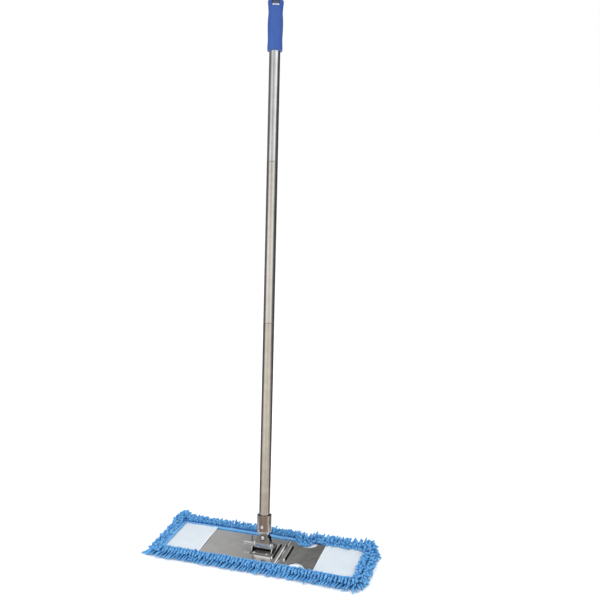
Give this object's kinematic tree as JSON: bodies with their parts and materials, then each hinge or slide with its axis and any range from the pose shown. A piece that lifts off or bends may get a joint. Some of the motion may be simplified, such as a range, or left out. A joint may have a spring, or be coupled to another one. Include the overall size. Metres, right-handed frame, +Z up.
{
  "type": "flat mop",
  "caption": "Flat dust mop: a folding steel plate in a fringed yarn pad with end pockets, on a long steel pole with a two-way pivot and a plastic grip.",
  "frame": {"origin": "on the floor, on the pad's underside straight below the middle of the pivot pin", "axes": "+X along the pad towards the folding wing, +Y to the back, where the pole leans at rest, +Z up"},
  "size_m": [0.506, 0.3541, 1.2381],
  "materials": {
    "plate_steel": "bright stainless sheet, fine brushed, lightly smeared",
    "bracket_steel": "pressed stainless",
    "fork_steel": "polished steel",
    "socket_steel": "polished stainless tube",
    "tube_steel": "satin stainless tube",
    "rivet_steel": "bright plated",
    "pin_steel": "bright plated",
    "dark_steel": "blackened",
    "black_plastic": "moulded",
    "grey_plastic": "moulded",
    "grip_plastic": "royal blue moulded polypropylene",
    "pad_pile": "tufted microfibre",
    "fringe_yarn": "twisted chenille yarn tufts",
    "pocket_cloth": "white woven polyester"
  },
  "bodies": {
    "frame": {"left_plate": "plate_steel", "fold_hinge_pin": "pin_steel", "pivot_bracket": "bracket_steel", "bracket_rivets": "rivet_steel", "pivot_pin": "pin_steel", "pivot_pin_clip": "pin_steel", "pad_backing_left": "pad_pile", "fringe_front_left": "fringe_yarn", "fringe_back_left": "fringe_yarn", "fringe_end_left": "fringe_yarn", "pocket_left": "pocket_cloth"},
    "wing": {"right_plate": "plate_steel", "pad_backing_right": "pad_pile", "fringe_front_right": "fringe_yarn", "fringe_back_right": "fringe_yarn", "fringe_end_right": "fringe_yarn", "pocket_right": "pocket_cloth"},
    "fork": {"pivot_fork": "fork_steel", "pivot_bushing": "black_plastic", "swing_bolt": "rivet_steel", "swing_bolt_nut": "rivet_steel", "bolt_washers": "dark_steel", "friction_washers": "black_plastic"},
    "pole": {"pole_socket": "socket_steel", "socket_sleeve": "black_plastic", "socket_rivet": "rivet_steel", "lower_tube": "tube_steel", "middle_tube": "tube_steel", "upper_tube": "tube_steel", "lower_joint_plug": "black_plastic", "lower_joint_insert": "grey_plastic", "upper_joint_plug": "black_plastic", "upper_joint_insert": "grey_plastic", "grip": "grip_plastic"}
  },
  "joints": [
    {"name": "wing_fold", "type": "hinge", "parent": "frame", "child": "wing", "pos_m": [0.0445, 0, 0.0151], "axis": [0, 1, 0], "range_deg": [0, 75]},
    {"name": "pole_tilt", "type": "hinge", "parent": "frame", "child": "fork", "pos_m": [0, 0, 0.0245], "axis": [1, 0, 0], "range_deg": [-54, 84]},
    {"name": "pole_swing", "type": "hinge", "parent": "fork", "child": "pole", "pos_m": [0, 0.00385, 0.0426], "axis": [0, 0.9781, -0.2079], "range_deg": [-45.67, 50.33]}
  ]
}
